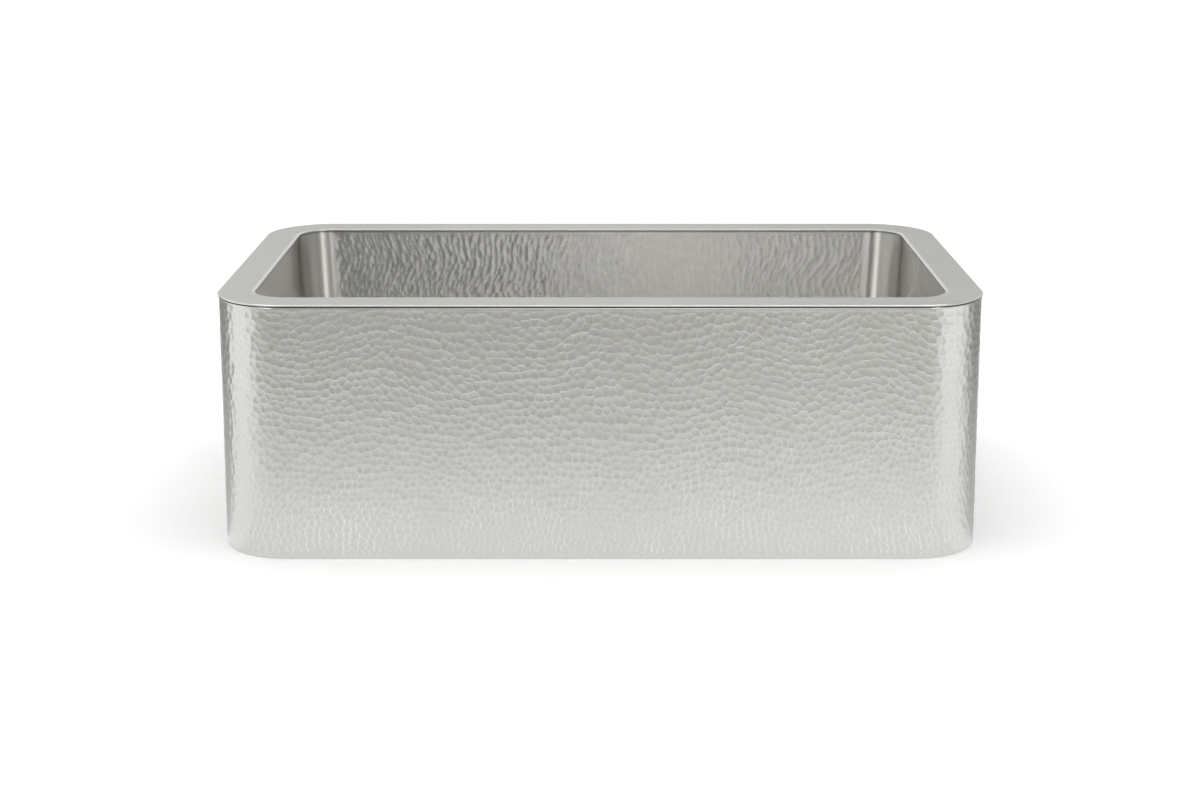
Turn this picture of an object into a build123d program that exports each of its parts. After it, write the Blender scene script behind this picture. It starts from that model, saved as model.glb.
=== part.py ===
from build123d import *

import os
from math import pi, radians, tan

# Farmhouse apron front sink in hammered sheet metal, with a basket strainer in its drain.
# Millimetres. The origin is the middle of the base, +Z is up, the apron faces -Y, +X is to the right.

through = 1.0              # how far a cutting form runs past the faces that it opens

# Overall form
width = 762.0              # rim, left to right
depth = 445.0              # rim, front to back
height = 257.0             # base to rim top
corner_radius = 70.0       # upright outer corners of the rim

# Rim
rim_thickness = 3.0
rim_side = 36.5            # width of the left and right rails
rim_front = 37.0           # width of the front rail
rim_back = 37.0            # width of the back rail
rim_rounding = 1.4         # roll of the outer and inner edges
opening_corner = 35.0      # corners of the opening in the rim

# Skirt: apron, sides and back, bent from sheet
sheet = 1.5
skirt_inset = 1.0          # the skirt stands back from the rim's edge
skirt_lip = 0.8            # rounding of the skirt's top edge, the lower half of the groove under the rim
base_bend = 3.5            # outside bend of the lower edge
base_flange = 18.0         # how far the lower edge is turned in
seam_offset = 6.0          # welded side seams lie this far behind the bends

# Bowl
bowl_recess = 1.0          # bowl walls stand back under the rim's inner edge
bowl_depth = 189.0         # rim underside to floor
bowl_draft = 3.0           # degrees
cove_radius = 25.0         # floor to wall
dish_radius = 145.0        # the floor falls to the drain inside this circle
dish_drop = 3.0
recess_radius = 61.0       # stamped seat for the drain flange
recess_drop = 3.5
recess_slope = 3.0         # how much the seat's wall leans
drain_hole = 45.0          # radius, for a 3 1/2 inch drain

# Support channels and sound pads
channel_width = 40.0
channel_height = 25.0
channel_gap = 5.0          # channel to the dished part of the floor
pad_thickness = 4.0
pad_side_gap = 9.0         # floor pad to channel and to cove
pad_end_gap = 32.0         # floor pad to the coves at the front and back
wall_pad_length = 420.0
wall_pad_height = 100.0
wall_pad_drop = 40.0       # rim underside to the top of a wall pad

# Drain body
seal_thickness = 1.0
flange_radius = 57.0
flange_thickness = 1.5
flange_edge = 1.35         # rounding of the flange's outer edge
flange_mouth = 0.75        # rounding where the flange falls to the ledge
neck_radius = 44.0         # threaded outside, for the locknut
cup_radius = 40.5          # inside, below the ledge
ledge_radius = 42.2        # inside, above the ledge
ledge_drop = 5.0           # flange top to the ledge that carries the basket
cup_depth = 37.0           # flange top to the stopper's seat
cup_rounding = 10.0
cup_wall = 2.5
seat_radius = 20.0         # bore under the seat
outlet_radius = 24.0       # threaded outside, 1 1/2 inch
outlet_bore = 17.5         # below the crossbar's ledge
outlet_length = 21.0
crossbar_drop = 10.0       # seat to the crossbar's ledge
crossbar_thickness = 3.0
crossbar_width = 3.5
crossbar_boss = 5.5        # radius
crossbar_bite = 0.5        # how far the arms run into their ring
seal_inset = 1.0           # seal to the drain hole's edge and to the flange's edge

# Clamping set under the floor
gasket_radius = 57.0
gasket_thickness = 3.0
friction_thickness = 1.0
friction_radius = 56.0
locknut_height = 9.0
locknut_radius = 52.0
locknut_lug = 7.0          # how far a lug stands out
locknut_lug_width = 14.0
locknut_lugs = 6
thread_clearance = 0.3

# Basket
basket_lip = 1.0           # thickness of the basket's lip and sheet
basket_clearance = 0.3     # lip to the cup's ledge
basket_taper = 2.5         # how much narrower the basket is at its floor
basket_inset = 1.6         # basket wall to cup wall
basket_rounding = 4.0
wall_slots = 20
slot_width = 3.0
slot_margin = 3.2          # slot to the basket's lip and floor
floor_hole = 1.6           # radius of a floor hole
floor_hole_pitch = 6.0
floor_hole_margin = 2.0    # hub's collar to the nearest hole
hub_radius = 6.0
hub_fit = 0.1              # hub to the hole in the basket's floor
hub_flange = 8.0           # radius of the hub's collar
hub_rivet_radius = 7.0
hub_height = 6.0
hub_rivet = 1.2            # thickness of the rivet head and of the collar
o_ring_wire = 0.8          # radius of the O-ring's section
o_ring_fit = 0.05          # O-ring to its groove

# Stopper
stopper_travel = 7.0
stop_gap = 0.5             # stopper plate to rivet head when the stopper is up
stem_radius = 3.0
stem_thread = 2.4          # radius below the shoulder
stem_fit = 0.25            # stem to O-ring
stem_bore = 0.35           # stem to the hub's bore
stem_chamfer = 0.8
rubber_radius = 27.0
rubber_thickness = 3.5
rubber_groove = 0.7        # half height of the groove round the rim
plate_radius = 21.0
plate_thickness = 1.0
washer_radius = 9.0
washer_thickness = 1.0
nut_flats = 8.0
nut_height = 3.0
thread_fit = 0.1           # threaded pieces to the thin end of the stem
guide_clearance = 0.4      # stem to the crossbar's hole
guide_length = 8.0         # stem below the nut
knob_radius = 9.0
knob_height = 8.5
knob_waist = 5.4           # radius
knob_neck = 2.8            # height of the waist
knob_flare = 1.0           # height of the slope from the waist to the head
knob_dome = 1.0            # how far the head's crown stands over its edge
knob_crown = 5.0           # radius of the crown's flat
knob_foot_edge = 0.5       # roundings
knob_head_edge = 0.8
knob_top_edge = 1.5
knob_crown_edge = 3.0
knob_gap = 7.0             # hub to knob when the stopper is down
knob_socket = 5.5          # depth of the stem in the knob

# Heights and sizes that follow
rim_bottom = height - rim_thickness
opening_width = width - 2 * rim_side
opening_depth = depth - rim_front - rim_back
opening_shift = (rim_front - rim_back) / 2
skirt_width = width - 2 * skirt_inset
skirt_depth = depth - 2 * skirt_inset
skirt_corner = corner_radius - skirt_inset
bowl_width = opening_width + 2 * bowl_recess
bowl_length = opening_depth + 2 * bowl_recess
bowl_corner = opening_corner + bowl_recess
floor_top = rim_bottom - bowl_depth
floor_bottom = floor_top - sheet
recess_top = floor_top - dish_drop - recess_drop
recess_bottom = recess_top - sheet
flange_bottom = recess_top + seal_thickness
flange_top = flange_bottom + flange_thickness
ledge_top = flange_top - ledge_drop
seat_top = flange_top - cup_depth
crossbar_bottom = seat_top - crossbar_drop
outlet_end = seat_top - outlet_length
gasket_bottom = recess_bottom - gasket_thickness
friction_bottom = gasket_bottom - friction_thickness
rubber_top = seat_top + rubber_thickness
plate_top = rubber_top + plate_thickness
basket_bottom = plate_top + stopper_travel + stop_gap + hub_rivet
basket_floor = basket_bottom + basket_lip
basket_wall = cup_radius - basket_inset
hub_top = basket_floor + hub_height
washer_bottom = seat_top - washer_thickness
nut_bottom = washer_bottom - nut_height
stem_end = nut_bottom - guide_length
knob_bottom = hub_top + knob_gap
channel_x = dish_radius + channel_gap + channel_width / 2
bowl_lean = bowl_depth * tan(radians(bowl_draft))
cove_reach = cove_radius * tan(radians(90 - bowl_draft) / 2)
flat_x = bowl_width / 2 - bowl_lean - cove_reach       # half of the floor's flat part
flat_y = bowl_length / 2 - bowl_lean - cove_reach
drain = Pos(0, opening_shift, 0)


def slab(size_x, size_y, corner, bottom, top):
    """An upright block with rounded corners."""
    return extrude(Pos(0, 0, bottom) * RectangleRounded(size_x, size_y, corner), top - bottom)


def turned(profile):
    """A solid of revolution. Each point is (radius, height) or (radius, height, rounding)."""
    face = make_face(Polyline(*[(point[0], point[1]) for point in profile], close=True))
    for point in profile:
        if len(point) == 3:
            corner = face.vertices().sort_by_distance((point[0], point[1], 0))[0]
            face = fillet(corner, point[2])
    return revolve(Plane.XZ * face, Axis.Z)


def ring(inner, outer, bottom, top):
    """A flat washer."""
    return turned([(inner, bottom), (outer, bottom), (outer, top), (inner, top)])


# ---------------------------------------------------------------- rim and skirt
def make_rim():
    """The flat rim, with every edge of its four rails rolled."""
    opening = slab(opening_width, opening_depth, opening_corner, rim_bottom - through, height + through)
    rim = slab(width, depth, corner_radius, rim_bottom, height) - Pos(0, opening_shift, 0) * opening
    levels = rim.edges().group_by(Axis.Z)
    return fillet(levels[0] + levels[-1], rim_rounding)


def make_skirt():
    """The skirt as one closed sheet, before it is parted at its seams."""
    outer = slab(skirt_width, skirt_depth, skirt_corner, 0, rim_bottom)
    outer = fillet(outer.edges().group_by(Axis.Z)[0], base_bend)
    outer = fillet(outer.edges().group_by(Axis.Z)[-1], skirt_lip)
    inner = slab(skirt_width - 2 * sheet, skirt_depth - 2 * sheet, skirt_corner - sheet, sheet, height)
    inner = fillet(inner.edges().group_by(Axis.Z)[0], base_bend - sheet)
    turned_in = 2 * base_flange
    corner = skirt_corner - base_flange
    below = slab(skirt_width - turned_in, skirt_depth - turned_in, corner, -through, sheet + through)
    return outer - inner - below


def skirt_panels():
    """The four panels of the skirt: the front and back ones carry the corners."""
    skirt = make_skirt()
    seam = skirt_depth / 2 - skirt_corner - seam_offset
    front_centre = -(seam + depth) / 2
    front_length = depth - seam
    high = Pos(0, 0, height / 2)
    front = high * Pos(0, front_centre, 0) * Box(2 * width, front_length, 2 * height)
    back = high * Pos(0, -front_centre, 0) * Box(2 * width, front_length, 2 * height)
    left = high * Pos(-width / 2, 0, 0) * Box(width, 2 * seam, 2 * height)
    right = high * Pos(width / 2, 0, 0) * Box(width, 2 * seam, 2 * height)
    return {
        "apron_front": skirt & front,
        "side_panel_left": skirt & left,
        "side_panel_right": skirt & right,
        "back_panel": skirt & back,
    }


# ---------------------------------------------------------------- bowl
def bowl_form(grow):
    """The bowl's cavity as a solid, with its drafted walls and coved floor, grown outwards evenly."""
    fall = bowl_depth + grow
    lean = fall * tan(radians(bowl_draft))
    size_x = bowl_width + 2 * grow
    size_y = bowl_length + 2 * grow
    corner = bowl_corner + grow
    mouth = Pos(0, 0, rim_bottom) * RectangleRounded(size_x, size_y, corner)
    base = Pos(0, 0, rim_bottom - fall) * RectangleRounded(size_x - 2 * lean, size_y - 2 * lean, corner)
    form = loft([base.face(), mouth.face()], ruled=True)
    form = fillet(form.edges().group_by(Axis.Z)[0], cove_radius + grow)
    return drain * form


def dish_form(grow):
    """The dished part of the floor with the stamped seat of the drain, grown downwards."""
    seat_edge = recess_radius - recess_slope
    profile = [
        (0, floor_top + sheet),
        (dish_radius, floor_top + sheet),
        (dish_radius, floor_top - grow),
        (recess_radius + grow, floor_top - dish_drop - grow),
        (seat_edge + grow, recess_top - grow),
        (0, recess_top - grow),
    ]
    return drain * turned(profile)


def make_bowl():
    """The wall band and the floor pan, which meet at a seam just above the cove."""
    shell = bowl_form(sheet) + dish_form(sheet) - bowl_form(0) - dish_form(0)
    shell -= drain * Pos(0, 0, recess_top) * Cylinder(drain_hole, 4 * recess_drop)
    seam = floor_top + cove_radius + sheet
    above = Pos(0, 0, seam + height / 2) * Box(2 * width, 2 * depth, height)
    return shell & above, shell - above


# ---------------------------------------------------------------- channels and pads
def make_channel(side):
    """An inverted channel from the apron to the back panel, closed by a welding tab at each end."""
    length = skirt_depth - 2 * sheet
    top = Pos(side * channel_x, 0, floor_bottom)
    down = (Align.CENTER, Align.CENTER, Align.MAX)
    outside = top * Box(channel_width, length, channel_height, align=down)
    hollow = Box(channel_width - 2 * sheet, length - 2 * sheet, channel_height, align=down)
    return outside - top * Pos(0, 0, -sheet) * hollow


def make_floor_pad(side):
    """A rubber pad stuck under the flat part of the floor."""
    near = channel_x + channel_width / 2 + pad_side_gap
    far = flat_x - pad_side_gap
    centre = (near + far) / 2
    down = (Align.CENTER, Align.CENTER, Align.MAX)
    pad = Box(far - near, 2 * (flat_y - pad_end_gap), pad_thickness, align=down)
    return Pos(side * centre, opening_shift, floor_bottom) * pad


def make_wall_pad(side):
    """A rubber pad stuck on the outside of the bowl's front or back wall."""
    layer = bowl_form(sheet + pad_thickness) - bowl_form(sheet)
    centre = rim_bottom - wall_pad_drop - wall_pad_height / 2
    window = Pos(0, side * depth / 2, centre) * Box(wall_pad_length, depth / 2, wall_pad_height)
    return layer & window


# ---------------------------------------------------------------- drain
def make_strainer_body():
    """The flanged cup with its ledge for the basket, its seat for the stopper and its outlet."""
    shoulder = (ledge_radius + drain_hole) / 2
    profile = [
        (outlet_bore, outlet_end),
        (outlet_radius, outlet_end),
        (outlet_radius, seat_top - cup_wall),
        (neck_radius, seat_top - cup_wall, cup_rounding + cup_wall),
        (neck_radius, flange_bottom),
        (flange_radius, flange_bottom),
        (flange_radius, flange_top, flange_edge),
        (shoulder, flange_top, flange_mouth),
        (ledge_radius, flange_bottom),
        (ledge_radius, ledge_top),
        (cup_radius, ledge_top),
        (cup_radius, seat_top, cup_rounding),
        (seat_radius, seat_top),
        (seat_radius, crossbar_bottom),
        (outlet_bore, crossbar_bottom),
    ]
    return turned(profile)


def make_crossbar():
    """The ring with a cross and a guide hole that lies on the outlet's ledge."""
    top = crossbar_bottom + crossbar_thickness
    outer = seat_radius - thread_clearance
    inner = outlet_bore + thread_clearance
    high = Pos(0, 0, crossbar_bottom + crossbar_thickness / 2)
    arm = 2 * (inner + crossbar_bite)
    across = high * Box(arm, crossbar_width, crossbar_thickness)
    along = high * Box(crossbar_width, arm, crossbar_thickness)
    boss = ring(0, crossbar_boss, crossbar_bottom, top)
    hole = ring(0, stem_thread + guide_clearance, crossbar_bottom - through, top + through)
    return ring(inner, outer, crossbar_bottom, top) + across + along + boss - hole


def make_locknut():
    """The nut that draws the drain body down, with lugs for the wrench."""
    bottom = friction_bottom - locknut_height
    bore = neck_radius + thread_clearance
    middle = Pos(0, 0, bottom + locknut_height / 2)
    lug_length = locknut_lug + (locknut_radius - bore) / 2
    lug_centre = locknut_radius + locknut_lug - lug_length / 2
    nut = ring(bore, locknut_radius, bottom, friction_bottom)
    for place in PolarLocations(lug_centre, locknut_lugs):
        nut += middle * place * Box(lug_length, locknut_lug_width, locknut_height)
    return nut


# ---------------------------------------------------------------- basket
def basket_slots():
    """Upright slots round the basket's wall."""
    bottom = basket_floor + slot_margin
    top = ledge_top - slot_margin
    slot = SlotOverall(top - bottom, slot_width, rotation=90)
    middle = (bottom + top) / 2
    step = 360 / wall_slots
    for turn in range(wall_slots):
        window = Rot(0, 0, turn * step) * Pos(0, 0, middle) * Plane.YZ * slot
        yield extrude(window, basket_wall + basket_lip)


def basket_floor_holes():
    """Rings of round holes in the basket's floor."""
    first = hub_flange + floor_hole_margin + floor_hole
    last = basket_wall - basket_taper - basket_rounding - floor_hole
    rings = int((last - first) / floor_hole_pitch) + 1
    for number in range(rings):
        radius = first + number * floor_hole_pitch
        count = int(2 * pi * radius / floor_hole_pitch)
        for place in PolarLocations(radius, count):
            yield Pos(0, 0, basket_bottom) * place * Cylinder(floor_hole, 4 * basket_lip)


def make_basket_cup():
    """The perforated basket: a lip on the ledge, slots in the wall and holes in the floor."""
    outer_low = basket_wall - basket_taper
    profile = [
        (hub_radius + hub_fit, basket_bottom),
        (outer_low, basket_bottom, basket_rounding),
        (basket_wall, ledge_top),
        (ledge_radius - basket_clearance, ledge_top),
        (ledge_radius - basket_clearance, ledge_top + basket_lip),
        (basket_wall - basket_lip, ledge_top + basket_lip),
        (outer_low - basket_lip, basket_floor, basket_rounding - basket_lip),
        (hub_radius + hub_fit, basket_floor),
    ]
    return turned(profile) - list(basket_slots()) - list(basket_floor_holes())


def make_basket_hub():
    """The bush riveted in the basket's floor, with an inner groove for the O-ring."""
    bore = stem_radius + stem_bore
    groove = stem_radius + stem_fit + 2 * o_ring_wire + o_ring_fit
    groove_middle = basket_floor + hub_height / 2
    groove_half = o_ring_wire + o_ring_fit
    bottom = basket_bottom - hub_rivet
    profile = [
        (bore, bottom),
        (hub_rivet_radius, bottom),
        (hub_rivet_radius, basket_bottom),
        (hub_radius, basket_bottom),
        (hub_radius, basket_floor),
        (hub_flange, basket_floor),
        (hub_flange, basket_floor + hub_rivet),
        (hub_radius, basket_floor + hub_rivet),
        (hub_radius, hub_top),
        (bore, hub_top),
        (bore, groove_middle + groove_half),
        (groove, groove_middle + groove_half),
        (groove, groove_middle - groove_half),
        (bore, groove_middle - groove_half),
    ]
    return turned(profile)


def make_o_ring():
    """The O-ring that holds the stem where it is set."""
    middle = stem_radius + stem_fit + o_ring_wire
    return Pos(0, 0, basket_floor + hub_height / 2) * Torus(middle, o_ring_wire)


# ---------------------------------------------------------------- stopper
def make_stem():
    """The stem: thick above its shoulder, thin where the stopper is clamped and guided."""
    top = knob_bottom + knob_socket
    profile = [
        (0, stem_end),
        (stem_thread - stem_chamfer, stem_end),
        (stem_thread, stem_end + stem_chamfer),
        (stem_thread, plate_top),
        (stem_radius, plate_top),
        (stem_radius, top),
        (0, top),
    ]
    return turned(profile)


def make_stopper_rubber():
    """The rubber disc, with a groove round its rim that leaves a soft sealing lip."""
    bore = stem_thread + thread_fit
    middle = seat_top + rubber_thickness / 2
    profile = [
        (bore, seat_top),
        (rubber_radius, seat_top),
        (rubber_radius, middle - rubber_groove),
        (rubber_radius - 2 * rubber_groove, middle),
        (rubber_radius - rubber_groove, middle + rubber_groove),
        (rubber_radius - 2 * rubber_groove, rubber_top),
        (bore, rubber_top),
    ]
    return turned(profile)


def make_nut():
    """The hexagon nut that clamps the stopper on its stem."""
    hexagon = RegularPolygon(nut_flats / 2, 6, major_radius=False)
    return extrude(Pos(0, 0, nut_bottom) * (hexagon - Circle(stem_thread + thread_fit)), nut_height)


def make_knob():
    """The pull knob: a waist for two fingers and a domed head, bored for the stem."""
    top = knob_bottom + knob_height
    socket = stem_radius + thread_fit
    flare = knob_bottom + knob_neck
    profile = [
        (socket, knob_bottom),
        (knob_waist, knob_bottom, knob_foot_edge),
        (knob_waist, flare),
        (knob_radius, flare + knob_flare, knob_head_edge),
        (knob_radius, top - knob_dome, knob_top_edge),
        (knob_crown, top, knob_crown_edge),
        (0, top),
        (0, knob_bottom + knob_socket),
        (socket, knob_bottom + knob_socket),
    ]
    return turned(profile)


def make_sub_parts():
    """Every sub-part by its node's name."""
    parts = {"rim_frame": make_rim()}
    parts.update(skirt_panels())
    parts["bowl_walls"], parts["bowl_floor"] = make_bowl()
    for name, side in (("left", -1), ("right", 1)):
        parts["support_channel_" + name] = make_channel(side)
        parts["floor_pad_" + name] = make_floor_pad(side)
    for name, side in (("front", -1), ("back", 1)):
        parts[name + "_wall_pad"] = make_wall_pad(side)

    neck = neck_radius + thread_clearance
    rod = stem_thread + thread_fit
    fittings = {
        "strainer_body": make_strainer_body(),
        "flange_seal": ring(drain_hole + seal_inset, flange_radius - seal_inset, recess_top, flange_bottom),
        "under_gasket": ring(neck, gasket_radius, gasket_bottom, recess_bottom),
        "friction_ring": ring(neck, friction_radius, friction_bottom, gasket_bottom),
        "locknut": make_locknut(),
        "outlet_crossbar": make_crossbar(),
        "basket_cup": make_basket_cup(),
        "basket_hub": make_basket_hub(),
        "stem_o_ring": make_o_ring(),
        "stopper_stem": make_stem(),
        "stopper_plate": ring(rod, plate_radius, rubber_top, plate_top),
        "stopper_rubber": make_stopper_rubber(),
        "stopper_washer": ring(rod, washer_radius, washer_bottom, seat_top),
        "stopper_nut": make_nut(),
        "pull_knob": make_knob(),
    }
    parts.update({name: drain * piece for name, piece in fittings.items()})
    return parts


os.makedirs("parts", exist_ok=True)
for node, shape in make_sub_parts().items():
    export_step(shape, "parts/" + node + ".step")
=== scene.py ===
import math

import bpy
import numpy as np
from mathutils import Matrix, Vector


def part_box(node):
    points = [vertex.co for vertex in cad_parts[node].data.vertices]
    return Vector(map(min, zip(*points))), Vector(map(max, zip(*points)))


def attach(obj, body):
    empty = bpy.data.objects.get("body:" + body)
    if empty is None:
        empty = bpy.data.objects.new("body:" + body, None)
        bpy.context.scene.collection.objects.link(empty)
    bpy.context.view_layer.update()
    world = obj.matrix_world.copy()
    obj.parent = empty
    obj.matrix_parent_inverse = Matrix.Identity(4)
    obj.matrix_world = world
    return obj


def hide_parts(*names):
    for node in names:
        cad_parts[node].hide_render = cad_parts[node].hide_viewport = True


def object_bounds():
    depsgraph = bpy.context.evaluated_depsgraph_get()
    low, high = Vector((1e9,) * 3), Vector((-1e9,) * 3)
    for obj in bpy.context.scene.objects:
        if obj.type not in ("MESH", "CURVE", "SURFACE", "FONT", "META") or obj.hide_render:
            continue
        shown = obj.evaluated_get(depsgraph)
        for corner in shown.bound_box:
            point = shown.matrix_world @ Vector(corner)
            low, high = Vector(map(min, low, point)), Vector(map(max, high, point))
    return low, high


bl_info = {
    "name": "Hammered apron front sink",
    "version": (1, 0, 0),
    "blender": (4, 5, 0),
    "location": "View3D > Sidebar > Sink",
    "description": "Hammered skirt and bowl, satin rim, drain and studio for the packed sink",
    "category": "Object",
}

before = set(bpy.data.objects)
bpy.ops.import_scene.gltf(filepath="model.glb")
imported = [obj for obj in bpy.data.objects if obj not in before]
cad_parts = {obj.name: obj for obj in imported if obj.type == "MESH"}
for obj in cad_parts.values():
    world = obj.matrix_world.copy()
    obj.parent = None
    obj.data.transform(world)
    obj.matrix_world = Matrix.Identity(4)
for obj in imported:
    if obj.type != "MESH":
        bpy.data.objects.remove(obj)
CAD_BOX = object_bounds()
RIM_LOW, RIM_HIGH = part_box("rim_frame")
SIDE_LOW, SIDE_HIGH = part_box("side_panel_right")
BOWL_LOW, BOWL_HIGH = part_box("bowl_walls")
PAN_LOW, PAN_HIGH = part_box("bowl_floor")
HALF_X = (RIM_HIGH.x - RIM_LOW.x) / 2
HALF_Y = (RIM_HIGH.y - RIM_LOW.y) / 2
MM = 0.001


# ---- sizes and colours a user may change
def size(name, description, millimetres):
    """A length that a user may change, held in metres."""
    return bpy.props.FloatProperty(
        name=name, description=description, default=millimetres * MM, subtype="DISTANCE")


class SinkMeasures(bpy.types.PropertyGroup):
    """Sizes of the modelled pieces, as the construction has them"""

    rim_corner: size("Rim corner", "Radius of the rim's outer corners", 70)
    rail_side: size("Side rail", "Width of the rim at the sides", 36.5)
    rail_front: size("Front rail", "Width of the rim at the front and back", 37)
    rim_rounding: size("Rim rounding", "Rounding of the rim's upper edges", 1.1)
    inner_roll: size("Inner roll", "How far in the rim starts to roll down to the bowl", 3.4)
    joint_gap: size("Joint gap", "Height of the open joint under the rim's lip", 1.1)
    joint_depth: size("Joint depth", "Depth of the open joint under the rim's lip", 2.2)
    opening_corner: size("Opening corner", "Corner radius of the opening", 35)
    sheet: size("Sheet", "Thickness of the hammered sheet", 1.5)
    skirt_inset: size("Skirt inset", "How far the skirt stands back from the rim", 1)
    skirt_lip: size("Skirt lip", "Rounding of the skirt's top edge", 1.2)
    base_bend: size("Base bend", "Outside bend of the lower edge", 3.5)
    base_flange: size("Base flange", "Width of the turned-in edge", 18)
    bowl_recess: size("Bowl recess", "How far the bowl stands back under the rim", 1)
    bowl_draft: bpy.props.FloatProperty(
        name="Bowl draft", description="Lean of the bowl's walls", default=math.radians(3),
        subtype="ANGLE")
    cove: size("Cove", "Radius between floor and walls", 25)
    dish_radius: size("Dish radius", "The floor falls to the drain inside this circle", 145)
    dish_drop: size("Dish drop", "How far the dish falls", 3)
    recess_radius: size("Drain seat", "Radius of the stamped drain seat", 61)
    recess_slope: size("Seat slope", "Lean of the drain seat's wall", 3)
    recess_drop: size("Seat drop", "Depth of the drain seat", 3.5)
    drain_hole: size("Drain hole", "Radius of the drain hole", 45)


class SinkLooks(bpy.types.PropertyGroup):
    """Hammer marks and colours"""

    mark_width: size("Mark width", "Width of a hammer mark at the skirt's top", 7.9)
    mark_height: size("Mark height", "Height of a hammer mark at the skirt's top", 7.8)
    foot_mark_width: size("Foot mark width", "Width of a hammer mark at the skirt's foot", 6.6)
    foot_mark_height: size("Foot mark height", "Height of a hammer mark at the skirt's foot", 6.9)
    mark_depth: size("Mark depth", "Depth of a hammer mark", 0.32)
    bowl_mark_depth: size("Bowl mark depth", "Depth of a hammer mark on the bowl's long walls", 0.4)
    # The ridges' lighter lines, set by the mark edge and the lightening below, are partly polishing and
    # partly a painted highlight
    mark_edge: size("Mark edge", "How far the polish of a ridge reaches to each side", 1.8)
    crest: size("Crest", "How far a ridge stands up between two marks", 0.16)
    polish_and_highlight: bpy.props.FloatProperty(
        name="Polish", description="How much lighter a ridge is than the marks", default=0.25,
        subtype="FACTOR")
    wander: size("Wander", "How far the rows of marks stray", 10)
    lean: size("Lean", "How far the skirt's marks stray along their rows", 15)
    bowl_lean: size("Bowl lean", "How far the bowl's marks stray along their rows", 8)
    metal: bpy.props.FloatVectorProperty(
        name="Metal", description="Colour of the satin metal", default=(0.68, 0.67, 0.635), size=3,
        subtype="COLOR", min=0, max=1)


def measures():
    return bpy.context.scene.sink_measures


def looks():
    return bpy.context.scene.sink_looks


# ---- shader tools
# The brightest level that a row of stops may hold
LEVEL_MOST = 8.0
# The range that most of a noise's values keep to, and a narrower one, which makes plainer clouds
NOISE_SPAN = 0.3, 0.7
CLOUD_SPAN = 0.35, 0.65


class Wire:
    """A shader socket; arithmetic on it adds Math nodes."""

    def __init__(self, nodes, socket):
        self.nodes = nodes
        self.socket = socket

    def __add__(self, other):
        return self.nodes.maths("ADD", self, other)

    def __sub__(self, other):
        return self.nodes.maths("SUBTRACT", self, other)

    def __rsub__(self, other):
        return self.nodes.maths("SUBTRACT", other, self)

    def __mul__(self, other):
        return self.nodes.maths("MULTIPLY", self, other)

    __radd__ = __add__
    __rmul__ = __mul__


class Nodes:
    """A node tree and short ways to add to it."""

    def __init__(self, tree, coordinate):
        self.tree = tree
        self.coordinate = coordinate

    def feed(self, socket, value):
        """Links a socket to a wire, or sets it to a number or a colour."""
        if isinstance(value, Wire):
            self.tree.links.new(value.socket, socket)
        else:
            socket.default_value = value

    def node(self, kind, settings=None, sockets=None, output=0):
        """Adds a node, sets it, feeds its sockets and returns one of its outputs."""
        made = self.tree.nodes.new(kind)
        for name, value in (settings or {}).items():
            if name == "stops":
                self.ramp(made.color_ramp, value)
            else:
                setattr(made, name, value)
        for name, value in (sockets or {}).items():
            self.feed(made.inputs[name], value)
        return Wire(self, made.outputs[output])

    @staticmethod
    def ramp(ramp, stops):
        """Gives a colour ramp its (place, grey) stops."""
        while len(ramp.elements) < len(stops):
            ramp.elements.new(1)
        for element, (place, grey) in zip(ramp.elements, stops):
            element.position = place
            element.color = (grey, grey, grey, 1)

    def place(self):
        """The point on the object in metres, or the direction in the world."""
        return self.node("ShaderNodeTexCoord", output=self.coordinate)

    def axes(self):
        """The point's X, Y and Z."""
        spot = self.place()
        return [self.node("ShaderNodeSeparateXYZ", {}, {"Vector": spot}, output=axis) for axis in "XYZ"]

    def attribute(self, name):
        """A number that the mesh keeps on its points, faces or corners."""
        return self.node("ShaderNodeAttribute", {"attribute_name": name}, output="Fac")

    def maths(self, operation, *values):
        """A sum on numbers."""
        return self.node("ShaderNodeMath", {"operation": operation}, dict(enumerate(values)))

    def bearing(self, right, ahead):
        """The angle between straight ahead and a way, in degrees, clockwise seen from above."""
        return self.maths("ARCTAN2", right, ahead) * (180 / math.pi)

    def stepped(self, value, low, high, stops):
        """A number read from a row of (place, level) stops between low and high."""
        row = {"stops": [((place - low) / (high - low), level / LEVEL_MOST) for place, level in stops]}
        read = self.node("ShaderNodeValToRGB", row, {"Fac": self.between(value, low, high)})
        return self.node("ShaderNodeSeparateColor", {}, {"Color": read}) * LEVEL_MOST

    def stretched(self, x, y, z):
        """Object coordinates scaled along each axis."""
        return self.node("ShaderNodeMapping", {}, {"Vector": self.place(), "Scale": (x, y, z)})

    def noise(self, scale, detail, vector=None):
        """Soft noise; scale is repeats per metre."""
        return self.node("ShaderNodeTexNoise", {}, {
            "Vector": vector or self.place(), "Scale": scale, "Detail": detail})

    def between(self, value, low, high, to_low=0.0, to_high=1.0):
        """Maps value from one range to another and clamps it."""
        return self.node("ShaderNodeMapRange", {"clamp": True}, {
            "Value": value, "From Min": low, "From Max": high, "To Min": to_low, "To Max": to_high})

    def varied(self, noise, low=0.0, high=1.0):
        """A value that follows a noise from low to high."""
        return self.between(noise, *NOISE_SPAN, low, high)

    def mix(self, share, first, second):
        """A colour between two colours."""
        first, second = [c if isinstance(c, Wire) else (*c, 1) for c in (first, second)]
        return self.node("ShaderNodeMix", {"data_type": "RGBA"}, {0: share, 6: first, 7: second}, output=2)

    def clouded(self, noise, first, second):
        """A colour that follows a noise from one colour to another."""
        return self.mix(self.between(noise, *CLOUD_SPAN), first, second)

    def bump(self, height, distance, strength, normal=None):
        """A bump from a height between 0 and 1."""
        sockets = {"Height": height, "Distance": distance, "Strength": strength}
        if normal:
            sockets["Normal"] = normal
        return self.node("ShaderNodeBump", {}, sockets)


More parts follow.
